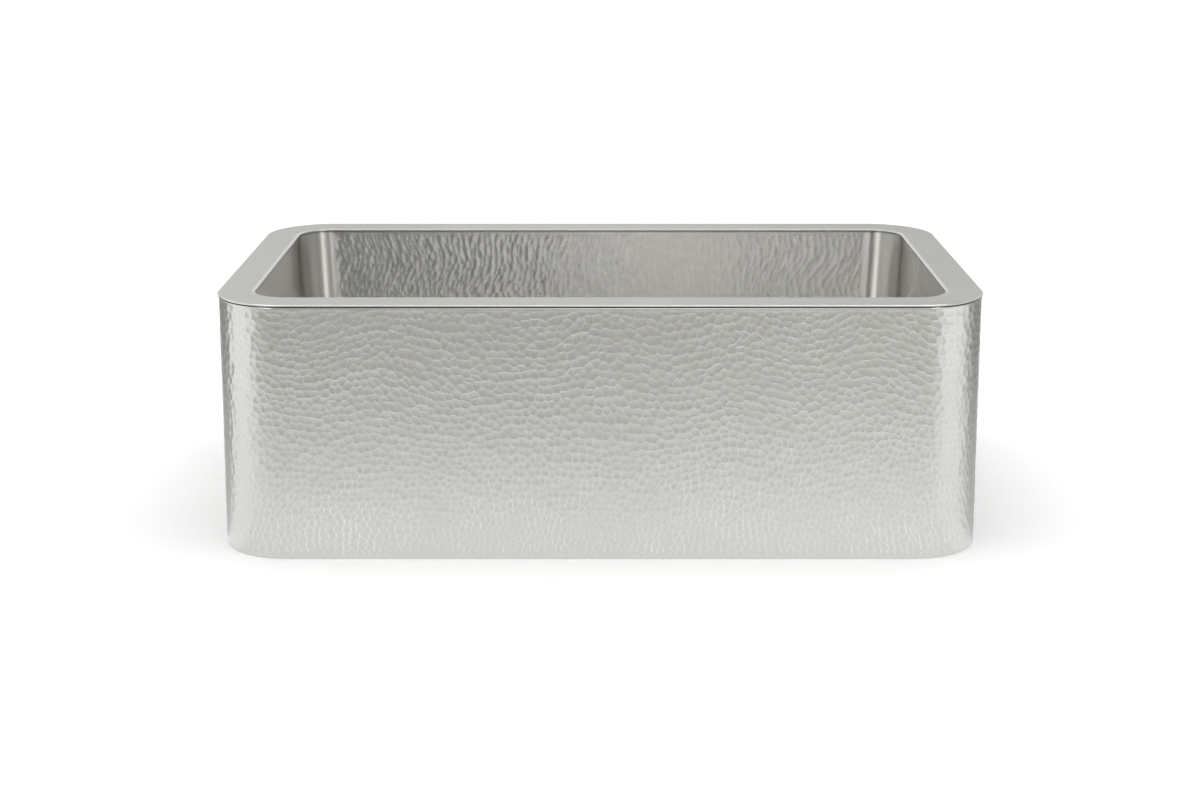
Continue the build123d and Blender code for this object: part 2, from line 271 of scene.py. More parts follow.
class Finish(Nodes):
    """One material and its node tree."""

    def __init__(self, name, **values):
        self.material = bpy.data.materials.new(name)
        self.material.use_nodes = True
        super().__init__(self.material.node_tree, "Object")
        self.shader = self.tree.nodes["Principled BSDF"]
        self.set(**values)

    def set(self, **values):
        """Sets or links the main shader's sockets; an underscore stands for a space."""
        for name, value in values.items():
            self.feed(self.shader.inputs[name.replace("_", " ")], value)

    def glossier(self, share, **values):
        """Mixes in a share of the same shader with other values, such as a sharper gloss in a satin
        one."""
        first = self.shader
        second = self.tree.nodes.new("ShaderNodeBsdfPrincipled")
        for given, taken in zip(first.inputs, second.inputs):
            if given.is_linked:
                self.tree.links.new(given.links[0].from_socket, taken)
            else:
                taken.default_value = given.default_value
        self.shader = second
        self.set(**values)
        self.shader = first
        both = self.tree.nodes.new("ShaderNodeMixShader")
        self.feed(both.inputs[0], share)
        self.tree.links.new(first.outputs[0], both.inputs[1])
        self.tree.links.new(second.outputs[0], both.inputs[2])
        self.tree.links.new(both.outputs[0], self.tree.nodes["Material Output"].inputs["Surface"])


def shade(colour, by):
    """A colour made lighter or darker by a factor."""
    return tuple(min(1.0, c * by) for c in colour)


# ---- finishes
# The painted shade that darkens an open joint, and the bright steel of the drain
JOINT_SHADE = (0.10, 0.096, 0.088)
DRAIN_STEEL = (0.62, 0.62, 0.61)
# Height in the bowl above which it is brushed level, and below which its gloss is the same every way
BRUSHED = 0.085, 0.07


def jointed(f, colour):
    """A colour with painted shade where two sheets meet in an open joint, and how near the joint is."""
    joint = f.attribute("joint")
    return f.mix(joint, colour, JOINT_SHADE), joint


def hammered_finish(name, inside=False):
    """Hammered satin metal: ridges lighter with polishing and a painted highlight, marks darker with painted
    shade, most of all in the bowl. The bowl is brushed level, which draws light upright."""
    look = looks()
    # Painted shade darkens the marks, most in the bowl; a painted highlight, partly polishing, lightens the
    # ridges
    if inside:
        mark_shade, ridge_highlight, satin, stand = 0.86, 0.95, 0.34, 0.6
    else:
        mark_shade, ridge_highlight, satin, stand = 0.97, 1 + look.polish_and_highlight, 0.32, 1
    f = Finish(name, Metallic=1.0)
    gap, strength = f.attribute("ridge_gap"), f.attribute("ridge_strength")
    cloud = f.noise(14, 3)
    patchy = f.between(f.noise(75, 2), 0.38, 0.6, 0.45, 1.0)
    ragged = (f.noise(420, 2) - 0.5) * (1.4 * look.mark_edge)
    line = f.between(f.maths("ABSOLUTE", gap + ragged), 0, look.mark_edge, 1, 0)
    crest = line * line * strength * patchy
    mark = shade(look.metal, mark_shade)
    mark = f.mix(f.varied(f.noise(420, 3)), shade(mark, 0.92), shade(mark, 1.08))
    worked = f.mix(crest, mark, shade(look.metal, ridge_highlight))
    # Only hammered parts carry the painted shade and highlight; smooth parts keep the plain metal
    worked = f.mix(f.between(strength, 0, 0.2), look.metal, worked)
    half_clouds = f.between(cloud, *CLOUD_SPAN, 0.0, 0.5)
    colour, joint = jointed(f, f.mix(half_clouds, worked, shade(look.metal, 0.96)))

    def roughness(least):
        return f.varied(cloud, least, least + 0.03) + joint * 0.25

    f.set(
        Base_Color=colour,
        Roughness=roughness(satin),
        Normal=f.bump(crest, look.crest * stand, 1.0, f.bump(f.noise(900, 2), 0.012 * MM, 0.5)),
    )
    if inside:
        f.set(Anisotropic=1.0, Anisotropic_Rotation=0.25)
        _, _, height = f.axes()
        f.glossier(f.between(height, *BRUSHED), Anisotropic=0.0)
    else:
        f.glossier(0.6, Roughness=roughness(0.15))
    return f.material


def satin_finish(name):
    """The rim's satin: a faint brushed grain along X, soft clouds, and rolled edges painted lighter as a
    highlight.
    """
    metal = looks().metal
    f = Finish(name, Metallic=1.0)
    grain = f.noise(1, 5, f.stretched(300, 3200, 3200))
    satin = f.mix(f.varied(f.noise(18, 4)), shade(metal, 0.96), metal)
    # The rolled edges are painted lighter: a painted highlight
    colour, joint = jointed(f, f.mix(f.attribute("worn"), satin, shade(metal, 1.3)))
    f.set(
        Base_Color=colour,
        Roughness=f.varied(grain, 0.30, 0.37) + joint * 0.3,
        Normal=f.bump(grain, 0.01 * MM, 0.5),
    )
    return f.material


def polished_finish(name, tone, roughness):
    """Turned and polished drain parts, with faint turning marks and wear."""
    metal = shade(DRAIN_STEEL, tone)
    f = Finish(name, Metallic=1.0)
    cloud = f.noise(60, 3)
    f.set(
        Base_Color=f.clouded(cloud, shade(metal, 0.94), metal),
        Roughness=f.varied(cloud, roughness, roughness + 0.08),
        Normal=f.bump(f.noise(1, 3, f.stretched(300, 300, 6000)), 0.01 * MM, 0.4),
    )
    return f.material


def mill_finish(name):
    """Plain rolled steel, as the hidden channels have it."""
    f = Finish(name, Metallic=1.0)
    roll = f.noise(1, 4, f.stretched(2500, 180, 2500))
    f.set(
        Base_Color=f.clouded(f.noise(30, 5), (0.40, 0.40, 0.39), (0.48, 0.48, 0.47)),
        Roughness=f.varied(roll, 0.34, 0.46),
        Normal=f.bump(roll, 0.02 * MM, 0.5),
    )
    return f.material


def rubber_finish(name, colour, ribs=0):
    """Matt rubber with a fine pebble and, on pads, moulded ribs."""
    f = Finish(name, Metallic=0.0)
    pebble = f.noise(1500, 2)
    normal = f.bump(pebble, 0.05 * MM, 0.6)
    if ribs:
        wave = f.node("ShaderNodeTexWave", {"bands_direction": "X", "wave_profile": "SIN"}, {
            "Vector": f.place(), "Scale": ribs})
        normal = f.bump(wave, 0.5 * MM, 0.7, normal)
    f.set(
        Base_Color=f.clouded(f.noise(45, 4), shade(colour, 0.8), shade(colour, 1.3)),
        Roughness=f.varied(pebble, 0.62, 0.75),
        Normal=normal,
    )
    return f.material


def fibre_finish(name):
    """Pressed brown fibre with short flecks."""
    f = Finish(name, Metallic=0.0)
    fleck = f.noise(1, 4, f.stretched(700, 700, 2400))
    f.set(
        Base_Color=f.clouded(fleck, (0.36, 0.22, 0.11), (0.52, 0.35, 0.19)),
        Roughness=f.varied(fleck, 0.75, 0.9),
        Normal=f.bump(fleck, 0.05 * MM, 0.6),
    )
    return f.material


# ---- mesh tools
# The corners' centres that an outline's legs lead between, as signs, and the way it faces there, in
# degrees
LEG_ENDS = np.array(
    [(0, -1), (1, -1), (1, -1), (1, 1), (1, 1), (-1, 1), (-1, 1), (-1, -1), (-1, -1), (0, -1)], float)
LEG_TURNS = np.radians([-90, -90, 0, 0, 90, 90, 180, 180, 270, 270])
# The legs round the corners, at the sides, at the front and back, at the back alone, and the last one
CORNER_LEGS, SIDE_LEGS, LONG_LEGS, BACK_LEG, LAST_LEG = (1, 3, 5, 7), (2, 6), (0, 4, 8), 4, 8


class Outline:
    """A rounded rectangle, walked anticlockwise seen from above, from the middle of its front."""

    def __init__(self, half_x, half_y, corner):
        self.half_x, self.half_y, self.corner = half_x, half_y, corner
        arc = corner * math.pi / 2
        side_x = half_x - corner
        side_y = 2 * (half_y - corner)
        self.legs = np.array([side_x, arc, side_y, arc, 2 * side_x, arc, side_y, arc, side_x])
        self.starts = np.concatenate([[0], np.cumsum(self.legs)])
        self.around = self.starts[-1]

    def walk(self, distance):
        """The leg that a distance falls on, and how far along that leg, from 0 to 1."""
        distance = np.mod(distance, self.around)
        leg = np.clip(np.searchsorted(self.starts, distance, "right") - 1, 0, LAST_LEG)
        return leg, (distance - self.starts[leg]) / self.legs[leg]

    def walk_round(self, step):
        """Distances all the way round, about one step apart, with their legs and shares."""
        distance = spaced(0, self.around, step)
        leg, share = self.walk(distance)
        leg[-1], share[-1] = LAST_LEG, 1.0
        return distance, leg, share

    def at(self, leg, share, inset=0.0, corner_inset=0.0):
        """X and Y at legs and shares of the outline, moved in by an inset and with smaller corners."""
        corner = self.corner - corner_inset
        signs = LEG_ENDS[leg] * (1 - share)[:, None] + LEG_ENDS[leg + 1] * share[:, None]
        reach = np.array([self.half_x, self.half_y]) - inset - corner
        return (signs * reach + facing(leg, share) * corner).T


def facing(leg, share):
    """The outward normals at legs and shares of any outline."""
    turn = LEG_TURNS[leg] + (LEG_TURNS[leg + 1] - LEG_TURNS[leg]) * share
    return np.stack([np.cos(turn), np.sin(turn)], -1)


def ring(x, y, height):
    """A row of a sheet's points, all at one height or each at its own."""
    return np.stack(np.broadcast_arrays(x, y, height), -1)


def beaten(outline, leg, share, rows, sink_in):
    """The places of a sheet along an outline, sunk in against its outward normals. Its rows are the
    outline's inset, its corners' inset and a height."""
    normal = facing(leg, share).T
    places = [ring(*(outline.at(leg, share, inset, corner_inset) - normal * sink_in[:, row]), height)
              for row, (inset, corner_inset, height) in enumerate(rows)]
    return np.stack(places, 1)


# How many blows further along and rows further up a place's nearest blows may be
LOOK_ABOUT = [(right, up) for right in range(-2, 3) for up in range(-2, 3)]
# A blow's cup is steeper above its middle than below it, so that its upper edge is an arch, as shares of
# its height
STEEP, GENTLE = 0.42, 0.62
# How far blows stray from their even places, and how unevenly deep they are
STRAY, UNEVEN = 0.66, 0.4
# The cup's measure at its highest corners, where three cups meet
CUP_EDGE = 1.9
# How much weaker the polishing and painted highlight are on upright ridges above, and on level ones where
# the marks stand
WEAK_UPRIGHT, WEAK_LEVEL = 0.4, 0.85
# How deep hand work leaves a sheet uneven between its marks
HAND_WORK = 0.10 * MM


class Blows:
    """Hammer blows on a flat sheet, in wandering rows. The rows' height tall(v) and their blows' width
    wide(v) may change with the height v. standing(v) is 0 where the level ridges carry more polishing and
    painted highlight, and 1 where the upright ones do. The rows stray in waves about as long as slack, and
    along them by lean."""

    def __init__(self, around, seed, low, high, wide, tall, standing, slack, lean):
        self.around, self.seed, self.standing, self.slack, self.lean = around, seed, standing, slack, lean
        edges = [low]
        while edges[-1] < high:
            edges.append(edges[-1] + tall(edges[-1]))
        self.edges = np.array(edges)
        self.heights = np.diff(self.edges)
        self.counts = np.array([max(1, round(around / wide(edge))) for edge in edges[:-1]])
        rng = np.random.default_rng(seed)
        self.shift = rng.random(len(self.counts))
        self.dice = rng.random((self.counts.max(), len(self.counts), 3))

    def strayed(self, u, v):
        """Places as the even rows would have them: the blows wander up and down, and lean to both
        sides."""
        return (u + self.lean * ripple(u, 2.5 * v, self.around, 2.5 * self.slack, self.seed + 4),
                v + looks().wander * ripple(u, 0.35 * v, self.around, self.slack, self.seed + 2))

    def measured(self, u, v, row, blow):
        """One blow's measure at places, 0 in its middle and growing outwards, and its slopes."""
        width, height = self.around / self.counts[row], self.heights[row]
        roll = self.dice[blow % self.counts[row], row]
        across = u - (blow + 0.5 + STRAY * (roll[..., 0] - 0.5) - self.shift[row]) * width
        along = v - (self.edges[row] + (0.5 + STRAY * (roll[..., 1] - 0.5)) * height)
        reach_u, reach_v = 0.5 * width, np.where(along > 0, STEEP, GENTLE) * height
        measure = (across / reach_u) ** 2 + (along / reach_v) ** 2 + UNEVEN * roll[..., 2]
        return measure, 2 * across / reach_u ** 2, 2 * along / reach_v ** 2

    def nearest(self, u, v):
        """The two blows whose measure is least at each place, each as its row and its number in the
        row."""
        row = np.searchsorted(self.edges, v) - 1
        rows, blows, measures = [], [], []
        for right, up in LOOK_ABOUT:
            rows.append(row + up)
            width = self.around / self.counts[rows[-1]]
            blows.append(np.floor(u / width + self.shift[rows[-1]]).astype(int) + right)
            measures.append(self.measured(u, v, rows[-1], blows[-1])[0])
        rows, blows, order = np.array(rows), np.array(blows), np.argsort(np.array(measures), 0)
        return [(np.take_along_axis(rows, pick, 0)[0], np.take_along_axis(blows, pick, 0)[0])
                for pick in (order[:1], order[1:2])]

    def cups(self, u, v):
        """How deep the sheet is beaten at each place, from 0 to 1."""
        u, v = self.strayed(u, v)
        own, _ = self.nearest(u, v)
        return np.clip(1 - self.measured(u, v, *own)[0] / CUP_EDGE, 0, 1)

    def ridges(self, u, v):
        """For each face of a grid of places, how far its four corners are from the ridge between its two
        nearest blows, negative beyond it, and how polished that ridge is."""
        stand = self.standing(at_faces(v))
        corner_u, corner_v = [corners(way) for way in self.strayed(u, v)]
        middle = corner_u.mean((2, 3)), corner_v.mean((2, 3))
        own, other = self.nearest(*middle)
        _, own_u, own_v = self.measured(*middle, *own)
        _, other_u, other_v = self.measured(*middle, *other)
        cross_u, cross_v = np.abs(own_u - other_u), np.abs(own_v - other_v)
        apart = np.maximum(np.hypot(cross_u, cross_v), 1e-6)
        own, other = [[part[..., None, None] for part in blow] for blow in (own, other)]
        higher = self.measured(corner_u, corner_v, *other)[0] - self.measured(corner_u, corner_v, *own)[0]
        strength = 1 - (stand * WEAK_LEVEL * cross_v + (1 - stand) * WEAK_UPRIGHT * cross_u) / apart
        return higher / apart[..., None, None], strength


def steady(value):
    """A blow's size or standing that is the same at every height."""
    return lambda height: value + 0 * height


def corners(values):
    """The values at the corners of each face of a grid, as [column, row, right, up]."""
    left = np.stack([values[:-1, :-1], values[:-1, 1:]], -1)
    right = np.stack([values[1:, :-1], values[1:, 1:]], -1)
    return np.stack([left, right], 2)


def at_faces(values):
    """The mean value on each face of a grid."""
    return corners(values).mean((2, 3))


def ripple(u, v, around, length, seed):
    """Slow unevenness of hand work, mostly between -1 and 1: a few crossing waves that meet again where
    u has gone round."""
    rng = np.random.default_rng(seed)
    total = np.zeros(u.shape)
    for number in range(7):
        turn = rng.uniform(0, math.pi)
        pitch = 2 * math.pi / (length * rng.uniform(0.6, 1.7))
        rounds = round(pitch * math.cos(turn) * around / (2 * math.pi))
        phase = rng.uniform(0, 2 * math.pi)
        total += np.sin(2 * math.pi * rounds * u / around + pitch * math.sin(turn) * v + phase)
    return total / 4


def hand_work(u, v, around, length, seed):
    """How deep a sheet is sunk in between its marks."""
    return HAND_WORK * (1 + ripple(u, v, around, length, seed))


def smooth_step(value, low, high):
    """0 below low, 1 above high, and an even curve between them."""
    share = np.clip((value - low) / (high - low), 0, 1)
    return share * share * (3 - 2 * share)


def arc_points(centre, radius, start, end, steps):
    """Points (inset, height) on an arc, angles in degrees, 0 towards +inset and 90 up."""
    turns = np.radians(np.linspace(start, end, steps + 1))
    return [(centre[0] + radius * math.cos(t), centre[1] + radius * math.sin(t)) for t in turns]


def spaced(start, end, step):
    """Values from start to end, both included, about one step apart."""
    count = max(1, round(abs(end - start) / step))
    return np.linspace(start, end, count + 1)


def deselect():
    bpy.ops.object.select_all(action="DESELECT")


def woven(name, places, ridges=None, **layers):
    """A grid primitive laid onto places[column, row], joined where it closes and capped where it ends.
    It keeps each layer's numbers on its points, and the ridges' gaps and strengths on its faces."""
    columns, rows = places.shape[:2]
    deselect()
    bpy.ops.mesh.primitive_grid_add(x_subdivisions=columns - 1, y_subdivisions=rows - 1, size=2)
    piece = bpy.context.active_object
    piece.name = piece.data.name = name
    mesh = piece.data
    flat = np.empty(len(mesh.vertices) * 3, np.float32)
    mesh.vertices.foreach_get("co", flat)
    flat = flat.reshape(-1, 3)
    column = np.rint((flat[:, 0] + 1) / 2 * (columns - 1)).astype(int)
    row = np.rint((flat[:, 1] + 1) / 2 * (rows - 1)).astype(int)
    mesh.vertices.foreach_set("co", places[column, row].astype(np.float32).ravel())
    for layer, values in layers.items():
        keep(mesh, layer, "POINT", np.broadcast_to(values, (columns, rows))[column, row])
    if ridges:
        gaps, strengths = ridges
        vertex = np.empty(len(mesh.loops), np.int32)
        mesh.loops.foreach_get("vertex_index", vertex)
        face_columns, face_rows = column[vertex].reshape(-1, 4), row[vertex].reshape(-1, 4)
        left, foot = face_columns.min(1, keepdims=True), face_rows.min(1, keepdims=True)
        keep(mesh, "ridge_gap", "CORNER", gaps[left, foot, face_columns - left, face_rows - foot].ravel())
        keep(mesh, "ridge_strength", "FACE", strengths[left, foot].ravel())
    bpy.ops.object.mode_set(mode="EDIT")
    bpy.ops.mesh.select_all(action="SELECT")
    bpy.ops.mesh.remove_doubles(threshold=1e-6)
    bpy.ops.mesh.select_all(action="DESELECT")
    bpy.ops.mesh.select_mode(type="EDGE")
    bpy.ops.mesh.select_non_manifold()
    if any_selected(piece):
        bpy.ops.mesh.edge_face_add()
    bpy.ops.mesh.select_mode(type="VERT")
    bpy.ops.mesh.select_all(action="SELECT")
    bpy.ops.mesh.normals_make_consistent(inside=False)
    bpy.ops.object.mode_set(mode="OBJECT")
    bpy.ops.object.shade_smooth_by_angle(angle=math.radians(40))
    return piece


def keep(mesh, name, domain, values):
    """Keeps a number on each point, face or face corner of a mesh."""
    layer = mesh.attributes.new(name, "FLOAT", domain)
    layer.data.foreach_set("value", np.ascontiguousarray(values, np.float32))


def any_selected(piece):
    piece.update_from_editmode()
    return any(edge.select for edge in piece.data.edges)


def dress(piece, body, slot, material, *nodes):
    """Gives a finished piece its material and body, and hides the CAD nodes that it stands for. The slot is
    not used.
    """
    piece.data.materials.clear()
    piece.data.materials.append(material)
    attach(piece, body)
    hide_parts(*nodes)


def paint(node, material):
    """Gives a CAD node's own object a material."""
    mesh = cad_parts[node].data
    mesh.materials.clear()
    mesh.materials.append(material)


# ---- skirt
# Heights between which the skirt's marks begin, grow to their upper size, lie down, and lose the foot's
# extra painted highlight
MARKS_BEGIN = 2 * MM, 7 * MM
MARKS_GROW = 40 * MM, 150 * MM
MARKS_LIE = 50 * MM, 190 * MM
FOOT_HIGHLIGHT_FADES = 30 * MM, 140 * MM
# How far below the skirt's top they end
MARKS_END = 1.5 * MM, 4 * MM
# How much stronger the foot's ridges are, in bump and painted highlight, and how much deeper the marks and
# fainter their ridges are round the corners
FOOT_HIGHLIGHT, BEND_DEEPER, BEND_FAINTER = 0.4, 0.8, 0.3
# The shares of a corner between which its marks reach that depth
BEND_STARTS = 0.1, 0.4


def skirt_outline():
    """The skirt's outer face."""
    m = measures()
    return Outline(HALF_X - m.skirt_inset, HALF_Y - m.skirt_inset, m.rim_corner - m.skirt_inset)


def skirt_profile(step):
    """The skirt sheet's closed section as (inset, height), and which of its points are on the outer
    face."""
    m = measures()
    top = RIM_LOW.z
    lip, bend, sheet = m.skirt_lip, m.base_bend, m.sheet
    section = arc_points((lip, top - lip), lip, 90, 180, 4)[:-1]
    first = len(section)
    section += [(0.0, z) for z in spaced(top - lip, bend, step)]
    last = len(section)
    section += arc_points((bend, bend), bend, 180, 270, 5)[1:]
    section += [(inset, 0.0) for inset in spaced(bend, m.base_flange, 4 * MM)[1:]]
    section += [(m.base_flange, sheet)]
    section += arc_points((bend, bend), bend - sheet, 270, 180, 4)
    section += [(sheet, top), (lip, top)]
    return np.array(section), slice(first, last)


def skirt_blows(around):
    """The skirt's blows: broad above, narrow and standing near the foot."""
    look = looks()

    def growing(foot, top):
        return lambda height: foot + (top - foot) * smooth_step(height, *MARKS_GROW)

    return Blows(
        around, seed=11, low=-0.1, high=RIM_HIGH.z + 0.1, slack=130 * MM, lean=look.lean,
        wide=growing(look.foot_mark_width, look.mark_width),
        tall=growing(look.foot_mark_height, look.mark_height),
        standing=lambda height: 1 - smooth_step(height, *MARKS_LIE))


def make_skirt_panel(name, start, end, step):
    """One hammered panel of the skirt between two distances round it."""
    m, look = measures(), looks()
    outline = skirt_outline()
    section, face = skirt_profile(step)
    round_it = spaced(start, end, step)
    leg, share = outline.walk(round_it)
    u, v = np.meshgrid(round_it, section[:, 1], indexing="ij")
    blows = skirt_blows(outline.around)
    on_face = np.zeros(len(section))
    on_face[face] = 1
    worked = on_face * smooth_step(v, *MARKS_BEGIN) * smooth_step(RIM_LOW.z - v, *MARKS_END)
    bend = np.isin(leg, CORNER_LEGS) * smooth_step(np.minimum(share, 1 - share), *BEND_STARTS)
    bend = bend[:, None]
    sink_in = worked * (1 + BEND_DEEPER * bend) * look.mark_depth * blows.cups(u, v)
    sink_in += worked * hand_work(u, v, outline.around, length=70 * MM, seed=5)
    places = beaten(outline, leg, share, [(inset, inset, z) for inset, z in section], sink_in)
    # The skirt's top, in the joint under the rim, is painted dark as shade
    joint = (section[:, 1] > RIM_LOW.z - 0.15 * m.skirt_lip) * 1.0
    gaps, strengths = blows.ridges(u, v)
    # The ridges' strength sets both their bump and their painted highlight, which is partly polishing
    polish_and_highlight = (1 - BEND_FAINTER * bend) * (1 + FOOT_HIGHLIGHT * (1 - smooth_step(v, *FOOT_HIGHLIGHT_FADES)))
    return woven(name, places, (gaps, strengths * at_faces(worked * polish_and_highlight)), joint=joint)


class SINK_OT_skirt(bpy.types.Operator):
    """Models the four hammered panels of the skirt"""

    bl_idname = "sink.skirt"
    bl_label = "Skirt"

    def execute(self, context):
        outline = skirt_outline()
        # The seams are on the straight sides, whose middle is at Y 0
        side_middle = outline.starts[2] + outline.half_y - outline.corner
        seam, far_seam = side_middle + SIDE_LOW.y, side_middle + SIDE_HIGH.y
        around = outline.around
        metal = hammered_finish("hammered_skirt")
        coarse = 1
        for name, start, end, step, node in (
            ("hammered_front", -seam, seam, 1.57 * MM, "apron_front"),
            ("hammered_right", seam, far_seam, 1.6 * MM, "side_panel_right"),
            ("hammered_back", far_seam, around - far_seam, 1.9 * MM, "back_panel"),
            ("hammered_left", around - far_seam, around - seam, 1.6 * MM, "side_panel_left"),
        ):
            piece = make_skirt_panel(name, start, end, step * coarse)
            dress(piece, "sink", "hammered_skirt", metal, node)
        return {"FINISHED"}


# ---- rim
# Rows of points in the rim's rolled edges and across its flat
ROLL_ROWS, FLAT_ROWS = 9, 10
# The rows of the outer roll and of the inner one that are painted lighter as a highlight
OUTER_HIGHLIT, INNER_HIGHLIT = slice(2, 7), slice(1, 8)
# Rounding of the lip's lower edge
LIP_EDGE = 0.35 * MM
# The joint with the bowl is lower and holds less painted shade than the one with the skirt, by these shares
INNER_GAP, INNER_JOINT = 0.5, 0.4


class SINK_OT_rim(bpy.types.Operator):
    """Models the flat satin rim with its rolled outer and inner edges"""

    bl_idname = "sink.rim"
    bl_label = "Rim"

    def execute(self, context):
        m = measures()
        outline = Outline(HALF_X, HALF_Y, m.rim_corner)
        opening = Outline(HALF_X - m.rail_side, HALF_Y - m.rail_front, m.opening_corner)
        _, leg, share = outline.walk_round((3) * MM)
        outer_lip = self.lip_section(m, m.joint_gap, m.rim_rounding)
        inner_lip = self.lip_section(m, INNER_GAP * m.joint_gap, m.inner_roll)[::-1]
        rows = [ring(*outline.at(leg, share, inset, inset), z) for inset, z, _ in outer_lip]
        roll = inner_lip[0][0]
        outer, inner = rows[-1][:, :2].T, opening.at(leg, share, -roll, -roll)
        for part in np.linspace(0, 1, FLAT_ROWS + 2)[1:-1]:
            x, y = outer + (inner - outer) * part
            uneven = np.clip(1 + ripple(x, y, around=1.0, length=80 * MM, seed=23), 0, None)
            dip = HAND_WORK * uneven * smooth_step(min(part, 1 - part), 0, 0.25)
            rows.append(ring(x, y, RIM_HIGH.z - dip))
        rows += [ring(*opening.at(leg, share, -inset, -inset), z) for inset, z, _ in inner_lip]
        rows.append(rows[0])
        # The open joints are painted dark as shade, less so at the bowl
        joint = [dark for _, _, dark in outer_lip] + [0] * FLAT_ROWS
        joint += [INNER_JOINT * dark for _, _, dark in inner_lip] + [1]
        # Rows of the rolled edges that get the painted highlight
        worn = np.zeros(len(rows))
        worn[len(outer_lip) - ROLL_ROWS:][OUTER_HIGHLIT] = 1
        worn[len(outer_lip) + FLAT_ROWS:][INNER_HIGHLIT] = 1
        piece = woven("satin_rim", np.stack(rows, 1), joint=np.array(joint), worn=worn)
        dress(piece, "sink", "satin_rim", satin_finish("satin_rim"), "rim_frame")
        return {"FINISHED"}

    @staticmethod
    def lip_section(m, gap, roll):
        """The rim's edge from its foot to its top, as (inset, height, 1 in the open joint under the lip,
        which is painted dark as shade). It starts to roll down at the distance roll from its edge."""
        under = RIM_LOW.z + gap
        foot = [(m.joint_depth, RIM_LOW.z, 1), (m.joint_depth, under, 1)]
        turn = [(-x, z, 0) for x, z in arc_points((-LIP_EDGE, under + LIP_EDGE), LIP_EDGE, -90, 0, 3)]
        turns = np.radians(np.linspace(0, 90, ROLL_ROWS))
        top = [(roll * (1 - math.cos(t)), RIM_HIGH.z - m.rim_rounding * (1 - math.sin(t)), 0) for t in turns]
        return foot + turn + top


# ---- bowl
# The bowl's long walls are beaten least at this X, and outwards from it more between two distances, to
# the left more than to the right, all as shares of their marks' depth
PLAIN_X, PLAIN_REACH = 45 * MM, (40 * MM, 190 * MM)
PLAIN_DEPTH, MORE_LEFT, MORE_RIGHT = 0.3, 0.7, 0.4
# How deep the bowl's ends are beaten
END_DEPTH = 0.05 * MM
# How near the back wall's ends its marks begin, and how far below the bowl's top
BACK_MARKS_BEGIN = 1 * MM, 3 * MM
BOWL_MARKS_BEGIN = 3 * MM, 4.5 * MM
# How far from the drain's seat the floor's marks begin, and the rows, counted from the cove's end, in which
# they take over from the walls' marks
FLOOR_MARKS_BEGIN = 1 * MM, 6 * MM
FLOOR_ROWS_BEGIN = -4, 2
# About how wide the flat floor is between the cove and the dish, and how much wider its rows are than others
FLAT_WIDTH, WIDER_ROWS = 80 * MM, 1.7
# Rows on the wall of the drain's seat: shares of its slope and of its drop
SEAT_WALL = (0.12, 0.06), (0.9, 0.94)


def bowl_outline():
    """The bowl's inner face at its top."""
    m = measures()
    return Outline(HALF_X - m.rail_side + m.bowl_recess, HALF_Y - m.rail_front + m.bowl_recess,
                   m.opening_corner + m.bowl_recess)


def wall_blows():
    """The bowl walls' blows: narrow and tall, so that their ridges stand upright."""
    return Blows(
        bowl_outline().around, seed=31, low=-0.2, high=RIM_HIGH.z + 0.1, slack=75 * MM,
        lean=looks().bowl_lean, wide=steady(6 * MM), tall=steady(12 * MM), standing=steady(1.0))


def floor_blows():
    """The bowl floor's blows, which are as wide as tall."""
    return Blows(1.5, seed=33, low=-0.35, high=0.35, slack=130 * MM, lean=looks().bowl_lean,
                 wide=steady(11 * MM), tall=steady(11 * MM), standing=steady(0.5))


def bowl_depth(round_it):
    """How deep the bowl is beaten at each distance round it: its ends and its corners stay nearly
    smooth, and so does the middle of its long walls."""
    outline = bowl_outline()
    leg, share = outline.walk(round_it)
    from_corner = np.minimum(share, 1 - share) * outline.legs[leg]
    begun = np.where(leg == BACK_LEG, smooth_step(from_corner, *BACK_MARKS_BEGIN), 1)
    from_plain = outline.at(leg, share)[0] - PLAIN_X
    more = np.where(from_plain > 0, MORE_RIGHT, MORE_LEFT)
    deep = PLAIN_DEPTH + more * smooth_step(np.abs(from_plain), *PLAIN_REACH)
    return np.where(np.isin(leg, LONG_LEGS), looks().bowl_mark_depth * begun * deep,
                    np.isin(leg, SIDE_LEGS) * END_DEPTH)


class SINK_OT_bowl_walls(bpy.types.Operator):
    """Models the hammered wall band of the bowl"""

    bl_idname = "sink.bowl_walls"
    bl_label = "Bowl walls"

    def execute(self, context):
        m = measures()
        outline = bowl_outline()
        top, seam = BOWL_HIGH.z, BOWL_LOW.z
        step = 1.95 * MM
        round_it, leg, share = outline.walk_round(step)
        heights = spaced(top, seam, step)
        section = np.array([(0.0, z) for z in heights] + [(-m.sheet, seam), (-m.sheet, top), (0.0, top)])
        u, v = np.meshgrid(round_it, section[:, 1], indexing="ij")
        on_face = np.arange(len(section)) < len(heights)
        deep = on_face * smooth_step(top - v, *BOWL_MARKS_BEGIN) * bowl_depth(round_it)[:, None]
        blows = wall_blows()
        sink_in = deep * blows.cups(u, v)
        sink_in += (deep > 0) * hand_work(u, v, outline.around, length=60 * MM, seed=6)
        rows = [((top - z) * math.tan(m.bowl_draft) + inset, 0.0, z) for inset, z in section]
        places = beaten(outline, leg, share, rows, -sink_in)
        gaps, strengths = blows.ridges(u, v)
        strengths *= at_faces(deep) / looks().bowl_mark_depth
        # The bowl's top, in the joint under the rim, gets a little painted shade
        joint = (section[:, 1] > top - 0.3 * MM) * INNER_JOINT
        piece = woven("hammered_walls", places, (gaps, strengths), joint=joint)
        dress(piece, "sink", "hammered_bowl", hammered_finish("hammered_walls", inside=True), "bowl_walls")
        return {"FINISHED"}


